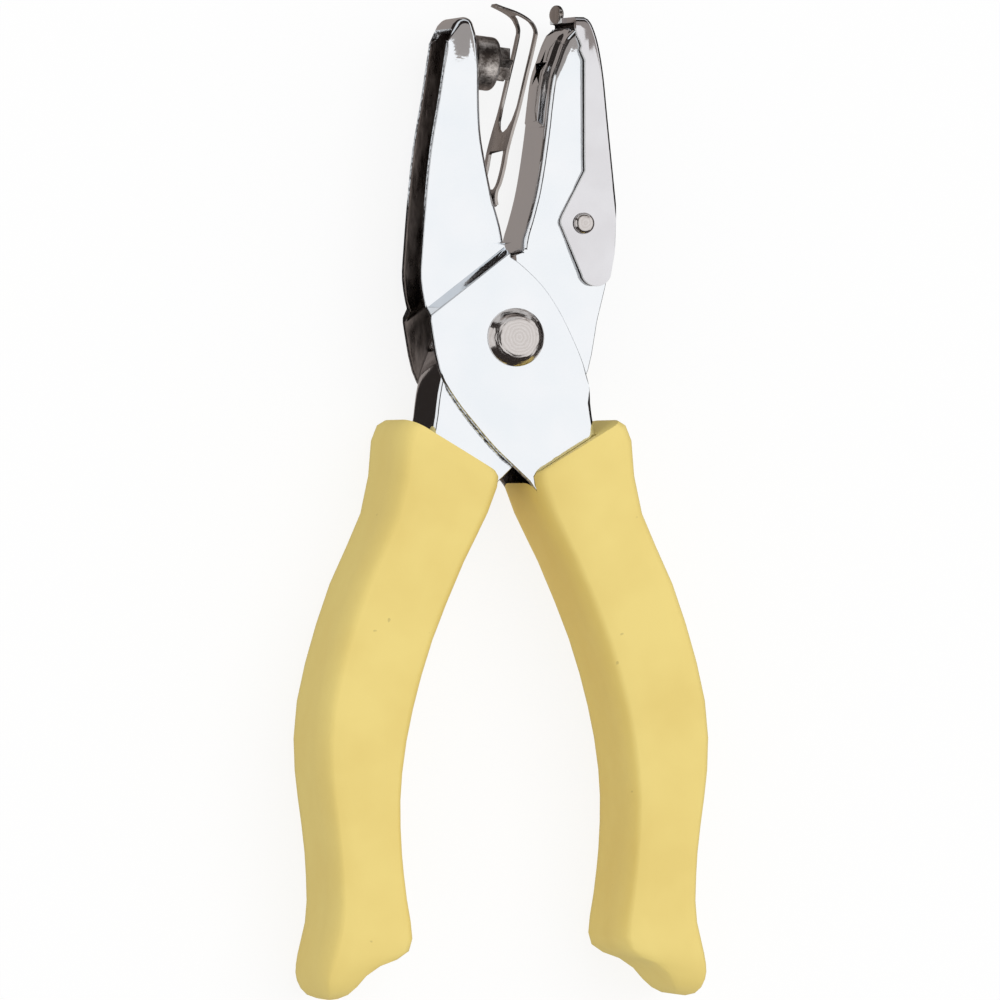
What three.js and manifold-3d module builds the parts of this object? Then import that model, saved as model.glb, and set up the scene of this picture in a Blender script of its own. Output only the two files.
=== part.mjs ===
// A hand-held plier punch that cuts one star-shaped hole near the edge of paper or card.
// Units are millimetres. The plier lies on its back: X to the right, Y from the grips to the noses,
// Z up through the pivot rivet. The origin is the middle of the rivet's flat rear head.
import * as THREE from "three";
import { mergeVertices } from "three/addons/utils/BufferGeometryUtils.js";
import Module from "manifold-3d";

const wasm = await Module();
wasm.setup();

// Sheet metal
const SHEET = 1.2; // both levers
const BEND = 1.2; // outside radius of the levers' bends
const COVER_SHEET = 0.8; // chip catcher
const LEAF_SHEET = 0.45; // stripper leaf
const GAP = 0.3; // running and seating clearance between separate pieces

// Depths, measured across the plier along Z
const PUNCH_JAW_DEPTH = 10.6;
const DIE_DEPTH = 12.5;
const PUNCH_JAW_HALF = PUNCH_JAW_DEPTH / 2;
const DIE_HALF = DIE_DEPTH / 2;
const CHEEK_HALF = DIE_HALF + GAP + SHEET; // the punch lever's cheeks straddle the die lever
const GRIP_DEPTH = 20;
const GRIP_HALF = GRIP_DEPTH / 2;
const GRIP_ROUND = 1.8; // rounding of the grips' long edges, across the handle
const GRIP_ROUND_Z = 5; // and along Z
const RIGHT_MOUTH_INNER = 2.3; // inner corner of each grip's mouth, from the middle line
const LEFT_MOUTH_INNER = 3.7;

// Heights up the Y axis
const NOSE_TOP = 48; // punch lever's nose
const THROAT = 13.4; // where the punch lever's jaw web ends
const DIE_WEB_FOOT = 12.8; // where the die lever's jaw web ends
const HANDLE_TOP = -22; // below here the handles and grips stretch with their length
const HANDLE_END = -84; // last of the steel inside the grips
const DRAWN_END = -84; // the end that the handle and grip lines below are drawn for

// Pivot
const RIVET_RADIUS = 2.6;
const RIVET_HEAD_RADIUS = 4.5;
const SLEEVE_WALL = 0.8;
const WIRE = 1.3;
const SPRING_TURNS = 3; // whole turns, besides the part turn between the two legs
const SPRING_REACH = -24; // height where each leg bears on its handle

// Punch and die
const STAR_RADIUS = 2.8;
const STAR_WAIST = 0.42; // inner radius of the star as a share of the outer
const STAR_LENGTH = 2.2;
const DIE_CLEARANCE = 0.28;
const COLLAR_RADIUS = 4.05;
const COLLAR_ROUND = 0.9;
const COLLAR_LENGTH = 3.7;
const PUNCH_NECK_RADIUS = 2.4;
const PUNCH_TAIL_RADIUS = 3.3;
const PUNCH_TAIL = 0.9;
const PUNCH_LEVEL = 40.6; // distance of the punch's line of travel from the pivot
const PUNCH_TILT = THREE.MathUtils.degToRad(-6.5); // jaws open
const CLOSING_ANGLE = THREE.MathUtils.degToRad(8.5);
const BOSS_RAISE = 0.8;
const BOSS_HALF = 4.2;
const BOSS_FOOT = 31.2;
const DIE_NOSE_CUT = 0.6; // corner cut off the die lever's flanges, under the catcher's bend

// Chip catcher and its pin
const PIN = new THREE.Vector2(10.7, 17.1);
const PIN_RADIUS = 1.15;
const PIN_HEAD_RADIUS = 1.6;
const PIN_HEAD = 0.55;
const COVER_HALF = DIE_HALF + GAP + COVER_SHEET;
const COVER_TOP = 48;
const COVER_FOOT = 20.2; // where the catcher's back stops, just above its pin
const TAB_HALF_WIDTH = 3.4;
const TAB_HALF_HEIGHT = 1.35;

// Stripper leaf
const LEAF_LEG = 1.1; // width of each leg beside the collar
const LEAF_SIDE_GAP = 0.15; // between each leg and the collar
const LEAF_HALF = COLLAR_RADIUS + LEAF_SIDE_GAP + LEAF_LEG;
const LEAF_TIP_HALF = 1.3;
const LEAF_BAR_FOOT = 28; // the cross-bar between the two windows
const LEAF_BAR_TOP = 30.6;
const LEAF_RIVET_LEVEL = 20.5;
const LEAF_RIVET_RADIUS = 0.8;
const LEAF_RIVET_HEAD_RADIUS = 1.15;
const LEAF_RIVET_HEAD = 0.45;

const FAR = 30; // longer than any cut needs to reach

// Edge lines of the two levers, each from the top down. The right handle belongs to the punch lever
// and the left handle, its mirror image, to the die lever.
const punchWeb = [[-4.7, 45.6], [-4.7, 36], [-4.5, 31], [-3.9, 27.1], [-2.6, 20.9], [-1.4, 16.6],
  [-0.8, THROAT]];
const punchBack = [[-9.9, 46.2], [-9.9, 42.5], [-11.1, 35.7], [-12.4, 28.2], [-13.2, 20.7], [-13.8, 13.2],
  [-14.1, 8.7], [-13.5, 4.3]];
const dieWeb = [[9, 46.4], [7.3, 42], [6.3, 39], [5.7, 35], [5.3, 31.5], [4.9, 28.5], [4.3, 24.6], [3.6, 21],
  [2.6, 17.3], [1.9, 15], [1.6, DIE_WEB_FOOT]];
const coverBack = [[12.1, 47.1], [12.9, 45.1], [13.5, 42.6], [14.1, 38.7], [14.7, 32.7], [16, COVER_FOOT]];
const joggle = [[-13.5, 4.3], [-2.7, 12.6]]; // where the jaw steps out to the wider cheeks
const dieBack = [[14.85, 14], [14.6, 8]]; // the die lever's cheek, above the mirrored lines below
const cheekRight = [[-1.4, 12.5], [0.9, 11.2], [4.2, 7.8], [6.7, 4.3], [8.7, 0.5], [10.6, -3.9],
  [11.8, -8.5]];
const cheekLeft = [[-13.6, 2.6], [-11.8, -4.9], [-9.3, -9.3], [-6.3, -13], [-3.2, -16.5], [-0.2, -19.3],
  [2.2, -21.5]];
const handleOuter = toLength([[11.8, -8.5], [12.5, -13.6], [14.2, -20], [18.4, -30], [23.4, -42],
  [26.8, -54], [27.3, -62], [26.3, -74], [25.8, DRAWN_END]]);
const handleInner = toLength([[2.2, -21.5], [5.6, -26.5], [9.2, -32.5], [13.4, -42], [17.6, -54],
  [19.2, -62], [19.6, -74], [19.6, DRAWN_END]]);
const gripMouth = [[6.7, -17.2], [12, -14.4], [15, -12], [17.6, -12.6]];
const gripOuter = [[18.7, -16], [18.9, -20.5], [20.4, -27], [24.7, -36.2], [28.6, -48.2], [30.5, -60],
  [29.8, -68], [28.6, -78], [28.5, -85], [29.9, -92]];
const gripFoot = [[30.1, -95], [28.3, -98.9], [25.3, -98], [23.4, -95.3], [20.8, -93.4], [17.6, -92.5],
  [15.7, -90]];
const gripInner = [[16, -87], [17.1, -80], [17.6, -73], [17.3, -65], [15.6, -55.5], [12.6, -45.3],
  [7.7, -33.6], [4, -26.4]];

// ---- small geometry helpers ----

// Fits a handle line to the handles' length: what lies beside the steel stretches, and what lies below
// its end moves with it.
function toLength(list) {
  const stretch = (HANDLE_END - HANDLE_TOP) / (DRAWN_END - HANDLE_TOP);
  return list.map(([x, y]) => {
    if (y > HANDLE_TOP) return [x, y];
    if (y < DRAWN_END) return [x, y - DRAWN_END + HANDLE_END];
    return [x, HANDLE_TOP + (y - HANDLE_TOP) * stretch];
  });
}

const points = (list) => list.map(([x, y]) => new THREE.Vector2(x, y));
const mirrored = (list) => list.map(([x, y]) => [-x, y]);

// A smooth line through the given points, with a few steps between each pair.
function smooth(list, steps = 2) {
  return new THREE.SplineCurve(points(list)).getPoints((list.length - 1) * steps);
}

// Where a line crosses a height, for pieces that must bear on it.
function acrossAt(list, y) {
  const index = list.findIndex((p, i) => i > 0 && (p[1] - y) * (list[i - 1][1] - y) <= 0);
  const [a, b] = [list[index - 1], list[index]];
  return a[0] + ((b[0] - a[0]) * (y - a[1])) / (b[1] - a[1]);
}

// The same closed outline moved inward by a distance, or outward if it is negative.
function inset(outline, distance) {
  const area = THREE.ShapeUtils.area(outline);
  return outline.map((p, i) => {
    const before = outline.at(i - 1);
    const after = outline[(i + 1) % outline.length];
    const a = p.clone().sub(before).normalize();
    const b = after.clone().sub(p).normalize();
    const across = new THREE.Vector2(-a.y - b.y, a.x + b.x).normalize();
    const stretch = Math.max(across.dot(new THREE.Vector2(-a.y, a.x)), 0.5);
    return p.clone().addScaledVector(across, (Math.sign(area) * distance) / stretch);
  });
}

function solid(geometry) {
  const plain = geometry.clone();
  plain.deleteAttribute("normal");
  plain.deleteAttribute("uv");
  const merged = mergeVertices(plain, 1e-4);
  return new wasm.Manifold(new wasm.Mesh({
    numProp: 3,
    vertProperties: new Float32Array(merged.attributes.position.array),
    triVerts: new Uint32Array(merged.index.array),
  }));
}

function geometryOf(manifold) {
  const mesh = manifold.getMesh();
  const geometry = new THREE.BufferGeometry();
  geometry.setAttribute("position", new THREE.BufferAttribute(mesh.vertProperties, 3));
  geometry.setIndex(new THREE.BufferAttribute(mesh.triVerts, 1));
  geometry.computeVertexNormals();
  return geometry;
}

// An outline made solid between two heights. Its edges can be rounded, by one radius across the outline
// and another along Z.
function slab(outline, low, high, round = 0, roundZ = round) {
  const geometry = new THREE.ExtrudeGeometry(new THREE.Shape(outline), {
    depth: high - low - 2 * roundZ,
    bevelEnabled: round > 0,
    bevelSize: round,
    bevelThickness: roundZ,
    bevelOffset: -round,
    bevelSegments: 3,
  });
  return solid(geometry.translate(0, 0, low + roundZ));
}

function turned(profile, segments = 32) {
  const geometry = new THREE.LatheGeometry(points(profile), segments);
  return solid(geometry.rotateX(Math.PI / 2)); // the profile's height runs along Z
}

// A pressed channel: a rounded slab less its inside, trimmed where the sheet is cut.
function channel(envelope, trim, half, sheet, bend) {
  const skin = slab(envelope, -half, half, bend);
  const inside = slab(inset(envelope, sheet), -half + sheet, half - sheet);
  return skin.subtract(inside).intersect(slab(trim, -FAR, FAR));
}

function pair(outline, inner, outer) {
  return slab(outline, inner, outer).add(slab(outline, -outer, -inner));
}

function drill(x, y, radius) {
  const geometry = new THREE.CylinderGeometry(radius, radius, 2 * FAR, 32);
  return solid(geometry.rotateX(Math.PI / 2).translate(x, y, 0));
}

// Places a solid made along +X at a point, turned by an angle about Z.
function aimed(geometry, x, y, angle) {
  return solid(geometry.rotateZ(angle).translate(x, y, 0));
}

// ---- shapes that two pieces share ----

function starOutline(radius) {
  const corners = 10;
  return Array.from({ length: corners }, (_, i) => {
    const reach = i % 2 ? radius * STAR_WAIST : radius;
    const angle = (i * 2 * Math.PI) / corners;
    return new THREE.Vector2(reach * Math.sin(angle), reach * Math.cos(angle));
  });
}

// A star-shaped bar along +X with one point up, from one distance to another.
function starBar(radius, from, to) {
  const geometry = new THREE.ExtrudeGeometry(new THREE.Shape(starOutline(radius)), {
    depth: to - from,
    bevelEnabled: false,
  });
  return geometry.rotateY(Math.PI / 2).translate(from, 0, 0);
}

function roundBar(radius, from, to) {
  const geometry = new THREE.CylinderGeometry(radius, radius, to - from, 32);
  return geometry.rotateZ(Math.PI / 2).translate((from + to) / 2, 0, 0);
}

// The foot of the punch's line of travel: the point of that line nearest to the pivot.
function travelFoot(angle) {
  return [-PUNCH_LEVEL * Math.sin(angle), PUNCH_LEVEL * Math.cos(angle)];
}

// The outline of a handle channel, from its top to the end of the steel, on the right side.
const handleOutline = [...smooth(handleOuter), ...smooth(handleInner).reverse(), new THREE.Vector2(6, -10)];

function cheekOutline() {
  const [low, high] = points(joggle);
  return [low, high, ...smooth(cheekRight), ...smooth(handleOuter).slice(0, 4),
    ...smooth(cheekLeft).reverse()];
}

// ---- pieces ----

function punchLever() {
  const jawEnvelope = [
    ...smooth(punchWeb).reverse(),
    ...noseArc(-6.9, NOSE_TOP - 2.2, 2.2, 0, 90),
    ...noseArc(-7.9, NOSE_TOP - 2, 2, 90, 170),
    new THREE.Vector2(-FAR, 45.4),
    new THREE.Vector2(-FAR, 0),
    new THREE.Vector2(-0.8, 0),
  ];
  const jawTrim = [
    ...smooth(punchBack),
    ...points(joggle),
    new THREE.Vector2(FAR, THROAT),
    new THREE.Vector2(FAR, 2 * FAR),
    new THREE.Vector2(-10, 2 * FAR),
  ];
  const jaw = channel(jawEnvelope, jawTrim, PUNCH_JAW_HALF, SHEET, BEND);
  const cheeks = pair(cheekOutline(), CHEEK_HALF - SHEET, CHEEK_HALF);
  const handle = handleChannel(CHEEK_HALF);
  const neck = aimed(roundBar(PUNCH_NECK_RADIUS + GAP, -FAR, 0), ...travelFoot(PUNCH_TILT), PUNCH_TILT);
  const leafHole = leafRivetBar(LEAF_RIVET_RADIUS + GAP, -4, 2);
  return jaw
    .add(joggleBand())
    .add(joggleBand().mirror([0, 0, 1]))
    .add(cheeks)
    .add(handle)
    .subtract(drill(0, 0, RIVET_RADIUS + GAP))
    .subtract(neck)
    .subtract(leafHole);
}

function noseArc(x, y, radius, from, to) {
  const [a, b] = [THREE.MathUtils.degToRad(from), THREE.MathUtils.degToRad(to)];
  return new THREE.EllipseCurve(x, y, radius, radius, a, b, false).getPoints(6);
}

// The short slope in the sheet between the upper flange of the jaw and its cheek.
function joggleBand() {
  const [low, high] = points(joggle);
  const run = 1; // width of the slope, square to the joggle line
  const lap = 0.35; // overlap into the flat sheet at each end
  const inner = PUNCH_JAW_HALF - SHEET;
  const outer = CHEEK_HALF - SHEET;
  const section = points([
    [-lap, inner], [0, inner], [run, outer], [run + lap, outer],
    [run + lap, outer + SHEET], [run, outer + SHEET], [0, inner + SHEET], [-lap, inner + SHEET],
  ]);
  const along = high.clone().sub(low);
  const band = new THREE.ExtrudeGeometry(new THREE.Shape(section), {
    depth: along.length(),
    bevelEnabled: false,
  });
  // Section across becomes the direction square to the line, section up becomes Z.
  const direction = along.clone().normalize();
  const frame = new THREE.Matrix4().makeBasis(
    new THREE.Vector3(direction.y, -direction.x, 0),
    new THREE.Vector3(0, 0, 1),
    new THREE.Vector3(-direction.x, -direction.y, 0),
  );
  band.applyMatrix4(frame.setPosition(high.x, high.y, 0));
  return solid(band);
}

function handleChannel(half) {
  const outer = smooth(handleOuter);
  const envelope = [
    new THREE.Vector2(11.6, -4),
    ...outer,
    new THREE.Vector2(outer.at(-1).x, HANDLE_END - FAR),
    new THREE.Vector2(-FAR, HANDLE_END - FAR),
    new THREE.Vector2(-FAR, -4),
  ].reverse();
  return channel(envelope, handleOutline, half, SHEET, BEND);
}

function dieLever() {
  const jawEnvelope = [
    new THREE.Vector2(11, 52), // the web's line carried on past its top
    ...smooth(dieWeb),
    new THREE.Vector2(dieWeb.at(-1)[0], 0),
    new THREE.Vector2(FAR, 0),
    new THREE.Vector2(FAR, 52),
  ];
  const backEdge = smooth(coverBack.map(([x, y]) => [x - COVER_SHEET - GAP, y]));
  const top = COVER_TOP - COVER_SHEET - 2 * GAP;
  const jawTrim = [
    new THREE.Vector2(0, DIE_WEB_FOOT),
    new THREE.Vector2(0, top),
    new THREE.Vector2(backEdge[0].x - DIE_NOSE_CUT, top),
    ...backEdge.slice(2),
    new THREE.Vector2(dieBack[0][0], DIE_WEB_FOOT),
  ];
  const cheek = [
    ...smooth([...dieBack, ...mirrored(cheekLeft)]),
    new THREE.Vector2(-12, -14), // inside the handle's outer web
    ...smooth(mirrored(cheekRight).reverse()),
    new THREE.Vector2(dieWeb.at(-1)[0] + BEND, dieBack[0][1]),
  ];
  return channel(jawEnvelope, jawTrim, DIE_HALF, SHEET, BEND)
    .add(pair(cheek, DIE_HALF - SHEET, DIE_HALF))
    .add(dieBoss())
    .subtract(dieBossPocket())
    .add(handleChannel(DIE_HALF).mirror([1, 0, 0]))
    .subtract(drill(0, 0, RIVET_RADIUS + GAP))
    .subtract(drill(PIN.x, PIN.y, PIN_RADIUS + GAP))
    .subtract(dieHole());
}

// The land around the die hole is pressed out toward the punch.
function bossOutline(shift) {
  const face = smooth(dieWeb).filter((p) => p.y > BOSS_FOOT);
  const front = face.map((p) => new THREE.Vector2(p.x - shift, p.y));
  const back = face.map((p) => new THREE.Vector2(p.x - shift + SHEET, p.y));
  return [...front, ...back.reverse()];
}

function dieBoss() {
  return slab(bossOutline(BOSS_RAISE), -BOSS_HALF, BOSS_HALF);
}

function dieBossPocket() {
  const half = BOSS_HALF - SHEET;
  return slab(bossOutline(BOSS_RAISE - SHEET).filter((p) => p.y > BOSS_FOOT + SHEET), -half, half);
}

function dieHole() {
  const closed = PUNCH_TILT - CLOSING_ANGLE;
  return aimed(starBar(STAR_RADIUS + DIE_CLEARANCE, -FAR / 3, FAR / 5), ...travelFoot(closed), closed);
}

function leafRivetBar(radius, from, to) {
  const x = acrossAt(punchWeb, LEAF_RIVET_LEVEL);
  return aimed(roundBar(radius, from, to), x, LEAF_RIVET_LEVEL, leafSlope());
}

// Angle of the web's outward normal where the leaf is riveted on.
function leafSlope() {
  const rise = acrossAt(punchWeb, LEAF_RIVET_LEVEL + 1) - acrossAt(punchWeb, LEAF_RIVET_LEVEL - 1);
  return Math.atan2(-rise, 2);
}

function starPunch() {
  const [x, y] = travelFoot(PUNCH_TILT);
  const webFace = punchWeb[1][0];
  const root = (webFace - x) / Math.cos(PUNCH_TILT); // distance along the punch of the lever's web
  const collarFront = root + COLLAR_LENGTH;
  const bulge = COLLAR_ROUND * (1 - Math.SQRT1_2); // middle of the rounded rim
  const collarProfile = [
    [0, root - 2], [COLLAR_RADIUS, root - 2], [COLLAR_RADIUS, collarFront - COLLAR_ROUND],
    [COLLAR_RADIUS - bulge, collarFront - bulge],
    [COLLAR_RADIUS - COLLAR_ROUND, collarFront], [0, collarFront],
  ];
  const collar = new THREE.LatheGeometry(points(collarProfile), 32).rotateZ(-Math.PI / 2);
  const behindWeb = slab(points([[-FAR, 0], [webFace + GAP, 0], [webFace + GAP, 60], [-FAR, 60]]), -FAR, FAR);
  const tailFace = root - SHEET - GAP;
  const tail = aimed(roundBar(PUNCH_TAIL_RADIUS, tailFace - 2 * PUNCH_TAIL, tailFace + 2), x, y, PUNCH_TILT);
  const webInside = webFace - SHEET - GAP;
  const aheadOfTail = slab(points([[webInside, 0], [FAR, 0], [FAR, 60], [webInside, 60]]), -FAR, FAR);
  return aimed(collar, x, y, PUNCH_TILT)
    .subtract(behindWeb)
    .add(aimed(roundBar(PUNCH_NECK_RADIUS, tailFace - PUNCH_TAIL, collarFront - 1), x, y, PUNCH_TILT))
    .add(tail.subtract(aheadOfTail))
    .add(aimed(starBar(STAR_RADIUS, collarFront - 1, collarFront + STAR_LENGTH), x, y, PUNCH_TILT));
}

function pivotRivet() {
  const seat = CHEEK_HALF + GAP;
  const rise = GRIP_HALF - seat;
  const crown = new THREE.EllipseCurve(0, seat + 0.4 * rise, RIVET_HEAD_RADIUS, 0.6 * rise, 0, Math.PI / 2)
    .getPoints(6).map((p) => [p.x, p.y]);
  return turned([
    [0, -GRIP_HALF], [RIVET_HEAD_RADIUS - 0.5, -GRIP_HALF], [RIVET_HEAD_RADIUS, -GRIP_HALF + 0.5],
    [RIVET_HEAD_RADIUS, -seat], [RIVET_RADIUS, -seat], [RIVET_RADIUS, seat], [RIVET_HEAD_RADIUS, seat],
    ...crown.slice(0, -1), [0, GRIP_HALF],
  ]);
}

function pivotSleeve() {
  const half = DIE_HALF - SHEET - GAP;
  const bore = RIVET_RADIUS + GAP;
  return turned([
    [bore, -half], [bore + SLEEVE_WALL, -half], [bore + SLEEVE_WALL, half], [bore, half], [bore, -half],
  ]);
}

// A torsion spring wound on the sleeve. Each leg bears on the inside of one handle's web.
function returnSpring() {
  const coil = RIVET_RADIUS + GAP + SLEEVE_WALL + GAP + WIRE / 2;
  const web = acrossAt(handleOuter, SPRING_REACH);
  const footX = web - SHEET - GAP - WIRE;
  const foot = new THREE.Vector2(footX, SPRING_REACH);
  const touch = foot.angle() - 2 * Math.PI + Math.acos(coil / foot.length()); // where a leg leaves the coil
  const sweep = 2 * Math.PI * SPRING_TURNS + Math.PI - 2 * touch;
  const climb = (sweep / (2 * Math.PI)) * (WIRE + GAP);
  const stepsPerTurn = 16;
  const steps = Math.round((sweep / (2 * Math.PI)) * stepsPerTurn);
  const route = [new THREE.Vector3(-foot.x, foot.y, -climb / 2)];
  for (let i = 0; i <= steps; i += 1) {
    const angle = Math.PI - touch - (sweep * i) / steps;
    const z = climb * (i / steps - 0.5);
    route.push(new THREE.Vector3(coil * Math.cos(angle), coil * Math.sin(angle), z));
  }
  route.push(new THREE.Vector3(foot.x, foot.y, climb / 2));
  const path = new THREE.CurvePath();
  route.slice(1).forEach((p, i) => path.add(new THREE.LineCurve3(route[i], p)));
  const wire = new THREE.Shape().absarc(0, 0, WIRE / 2, 0, 2 * Math.PI);
  return solid(new THREE.ExtrudeGeometry(wire, {
    steps: 150,
    extrudePath: path,
    curveSegments: 4,
  }));
}

function leafPath() {
  const seat = (GAP + LEAF_SHEET / 2) / Math.cos(leafSlope());
  const root = [LEAF_RIVET_LEVEL - 1.3, LEAF_RIVET_LEVEL, LEAF_RIVET_LEVEL + 1.3]
    .map((y) => [acrossAt(punchWeb, y) + seat, y]);
  const blade = [[-1.6, 23.2], [-1, 25.4], [-0.5, 28], [0.3, 30.9], [1.3, 34.2], [2.4, 38.7], [3.7, 44],
    [4, 46.2], [3.1, 47.8], [1.4, 48.9], [-1.2, 49.9]];
  return new THREE.SplineCurve(points([...root, ...blade]));
}

// The leaf's side view is a thin bent band. Its front view, across Z and up Y, gives the windows.
function stripperLeaf() {
  const path = leafPath();
  const sides = [LEAF_SHEET / 2, -LEAF_SHEET / 2].map((offset) => Array.from({ length: 49 }, (_, i) => {
    const along = path.getTangentAt(i / 48);
    return path.getPointAt(i / 48).add(new THREE.Vector2(-along.y, along.x).multiplyScalar(offset));
  }));
  const top = path.points.at(-1).y;
  const front = symmetric([[LEAF_HALF, 0], [LEAF_HALF, top - 4.2], [LEAF_TIP_HALF + 1.9, top - 1.3],
    [LEAF_TIP_HALF, top + 1]]);
  const slotHalf = LEAF_HALF - LEAF_LEG;
  const slot = symmetric([[slotHalf * 0.4, LEAF_BAR_TOP], [slotHalf, LEAF_BAR_TOP + 2.4], [slotHalf, top - 4],
    [slotHalf * 0.45, top - 1.6], [0.3, top - 1]]);
  const lower = symmetric([[slotHalf - 0.5, LEAF_BAR_FOOT - 4.4], [slotHalf - 0.5, LEAF_BAR_FOOT]]);
  return slab([...sides[0], ...sides[1].reverse()], -LEAF_HALF, LEAF_HALF)
    .intersect(frontCut(front))
    .subtract(frontCut(slot))
    .subtract(frontCut(lower))
    .subtract(leafRivetBar(LEAF_RIVET_RADIUS + GAP / 2, -4, 4));
}

// A closed outline from its right half, given from the bottom up.
function symmetric(half) {
  return points([...half, ...mirrored(half).reverse()]);
}

// A front-view outline, across Z and up Y, made solid along X.
function frontCut(outline) {
  const geometry = new THREE.ExtrudeGeometry(new THREE.Shape(outline), {
    depth: 2 * FAR,
    bevelEnabled: false,
  });
  return solid(geometry.rotateY(Math.PI / 2).translate(-FAR, 0, 0));
}

function leafRivet() {
  const leafTop = GAP + LEAF_SHEET + GAP;
  const inside = -SHEET - GAP;
  return leafRivetBar(LEAF_RIVET_RADIUS - 0.05, inside - 0.1, leafTop + 0.1)
    .add(leafRivetBar(LEAF_RIVET_HEAD_RADIUS, leafTop, leafTop + LEAF_RIVET_HEAD))
    .add(leafRivetBar(LEAF_RIVET_HEAD_RADIUS + 0.2, inside - LEAF_RIVET_HEAD, inside));
}

function catcher() {
  const back = smooth(coverBack);
  const envelope = [
    new THREE.Vector2(2, COVER_TOP),
    new THREE.Vector2(11.2, COVER_TOP),
    ...back,
    new THREE.Vector2(FAR, COVER_FOOT),
    new THREE.Vector2(FAR, 0),
    new THREE.Vector2(2, 0),
  ].reverse();
  const ear = [
    new THREE.Vector2(8, COVER_TOP + 1), new THREE.Vector2(8, COVER_TOP - COVER_SHEET),
    ...points([[9.3, 46.4], [9.9, 43.4], [10.5, 41.1], [10.5, 27], [10.6, 25], [7.4, 18.3]]),
    ...noseArc(8.3, 17.3, 1.1, 155, 215),
    new THREE.Vector2(10.6, 9.3),
    ...noseArc(12.8, 10.1, 2.4, 200, 330),
    ...points([[15.6, 12.5], [15.7, COVER_FOOT - 0.5]]),
    ...back.slice().reverse(),
    new THREE.Vector2(11.2, COVER_TOP + 1),
  ];
  const tab = new THREE.Shape().absellipse(0, 0, TAB_HALF_WIDTH, TAB_HALF_HEIGHT, 0, 2 * Math.PI);
  const tabPlate = new THREE.ExtrudeGeometry(tab, {
    depth: COVER_SHEET,
    bevelEnabled: false,
    curveSegments: 10,
  });
  const tabSolid = solid(tabPlate.rotateY(Math.PI / 2).translate(8, COVER_TOP + 0.5, 0));
  return channel(envelope, ear, COVER_HALF, COVER_SHEET, COVER_SHEET)
    .add(tabSolid)
    .subtract(drill(PIN.x, PIN.y, PIN_RADIUS + GAP));
}

function catcherPin() {
  const seat = COVER_HALF + GAP;
  const rim = 0.3 * PIN_HEAD;
  return turned([
    [0, -seat - PIN_HEAD], [PIN_HEAD_RADIUS * 0.7, -seat - 0.8 * PIN_HEAD], [PIN_HEAD_RADIUS, -seat - rim],
    [PIN_HEAD_RADIUS, -seat], [PIN_RADIUS, -seat], [PIN_RADIUS, seat], [PIN_HEAD_RADIUS, seat],
    [PIN_HEAD_RADIUS, seat + rim], [PIN_HEAD_RADIUS * 0.7, seat + 0.8 * PIN_HEAD], [0, seat + PIN_HEAD],
  ], 20);
}

// A moulded sleeve over one handle, drawn on the right and mirrored for the left. The inner corner of
// its mouth is given, because the two handles are not equally deep.
function grip(leverHalf, mouthInner, leverOutline) {
  const lip = [[mouthInner, -22.4], [mouthInner - 0.2, -19.6]];
  const sides = toLength([...gripOuter, ...gripFoot, ...gripInner]);
  const outline = smooth([...lip, ...gripMouth, ...sides]);
  const pocketHalf = leverHalf + GAP;
  return slab(outline, -GRIP_HALF, GRIP_HALF, GRIP_ROUND, GRIP_ROUND_Z)
    .subtract(slab(inset(handleOutline, -GAP), -pocketHalf, pocketHalf))
    .subtract(slab(inset(leverOutline, -GAP), -pocketHalf, pocketHalf));
}

// ---- assembly ----

const finishes = {
  chrome: { color: 0xdfe3e6, roughness: 0.12, metalness: 1 },
  coverSteel: { color: 0xd2d2d4, roughness: 0.3, metalness: 1 },
  springSteel: { color: 0x8f8a86, roughness: 0.3, metalness: 1 },
  darkSteel: { color: 0x5d5855, roughness: 0.4, metalness: 1 },
  vinyl: { color: 0xe7d179, roughness: 0.6, metalness: 0 },
};

const plier = new THREE.Group();
plier.position.z = GRIP_HALF; // every piece is drawn about the plier's middle plane

function place(name, manifold, finish) {
  const mesh = new THREE.Mesh(geometryOf(manifold), new THREE.MeshStandardMaterial(finishes[finish]));
  mesh.name = name;
  plier.add(mesh);
}

place("punch_lever", punchLever(), "chrome");
place("die_lever", dieLever(), "chrome");
place("star_punch", starPunch(), "darkSteel");
place("stripper_leaf", stripperLeaf(), "springSteel");
place("stripper_rivet", leafRivet(), "darkSteel");
place("pivot_rivet", pivotRivet(), "darkSteel");
place("pivot_sleeve", pivotSleeve(), "springSteel");
place("return_spring", returnSpring(), "springSteel");
place("catcher", catcher(), "coverSteel");
place("catcher_pin", catcherPin().translate(PIN.x, PIN.y, 0), "darkSteel");
place("grip_right", grip(CHEEK_HALF, RIGHT_MOUTH_INNER, cheekOutline()), "vinyl");
place("grip_left", grip(DIE_HALF, LEFT_MOUTH_INNER, handleOutline).mirror([1, 0, 0]), "vinyl");

export default plier;
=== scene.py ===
# A plier punch for star-shaped holes: two plated pressed-steel levers on one rivet, a hardened star
# punch, a spring-steel stripper leaf, a hinged chip catcher and soft yellow vinyl grips.
# Sizes are in millimetres, in the plier's own frame: X right, Y from the grips to the noses and Z up
# through the rivet. MIDDLE is the height of the plane halfway through the tool.
import math

import bpy
from mathutils import Matrix, Vector


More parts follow.
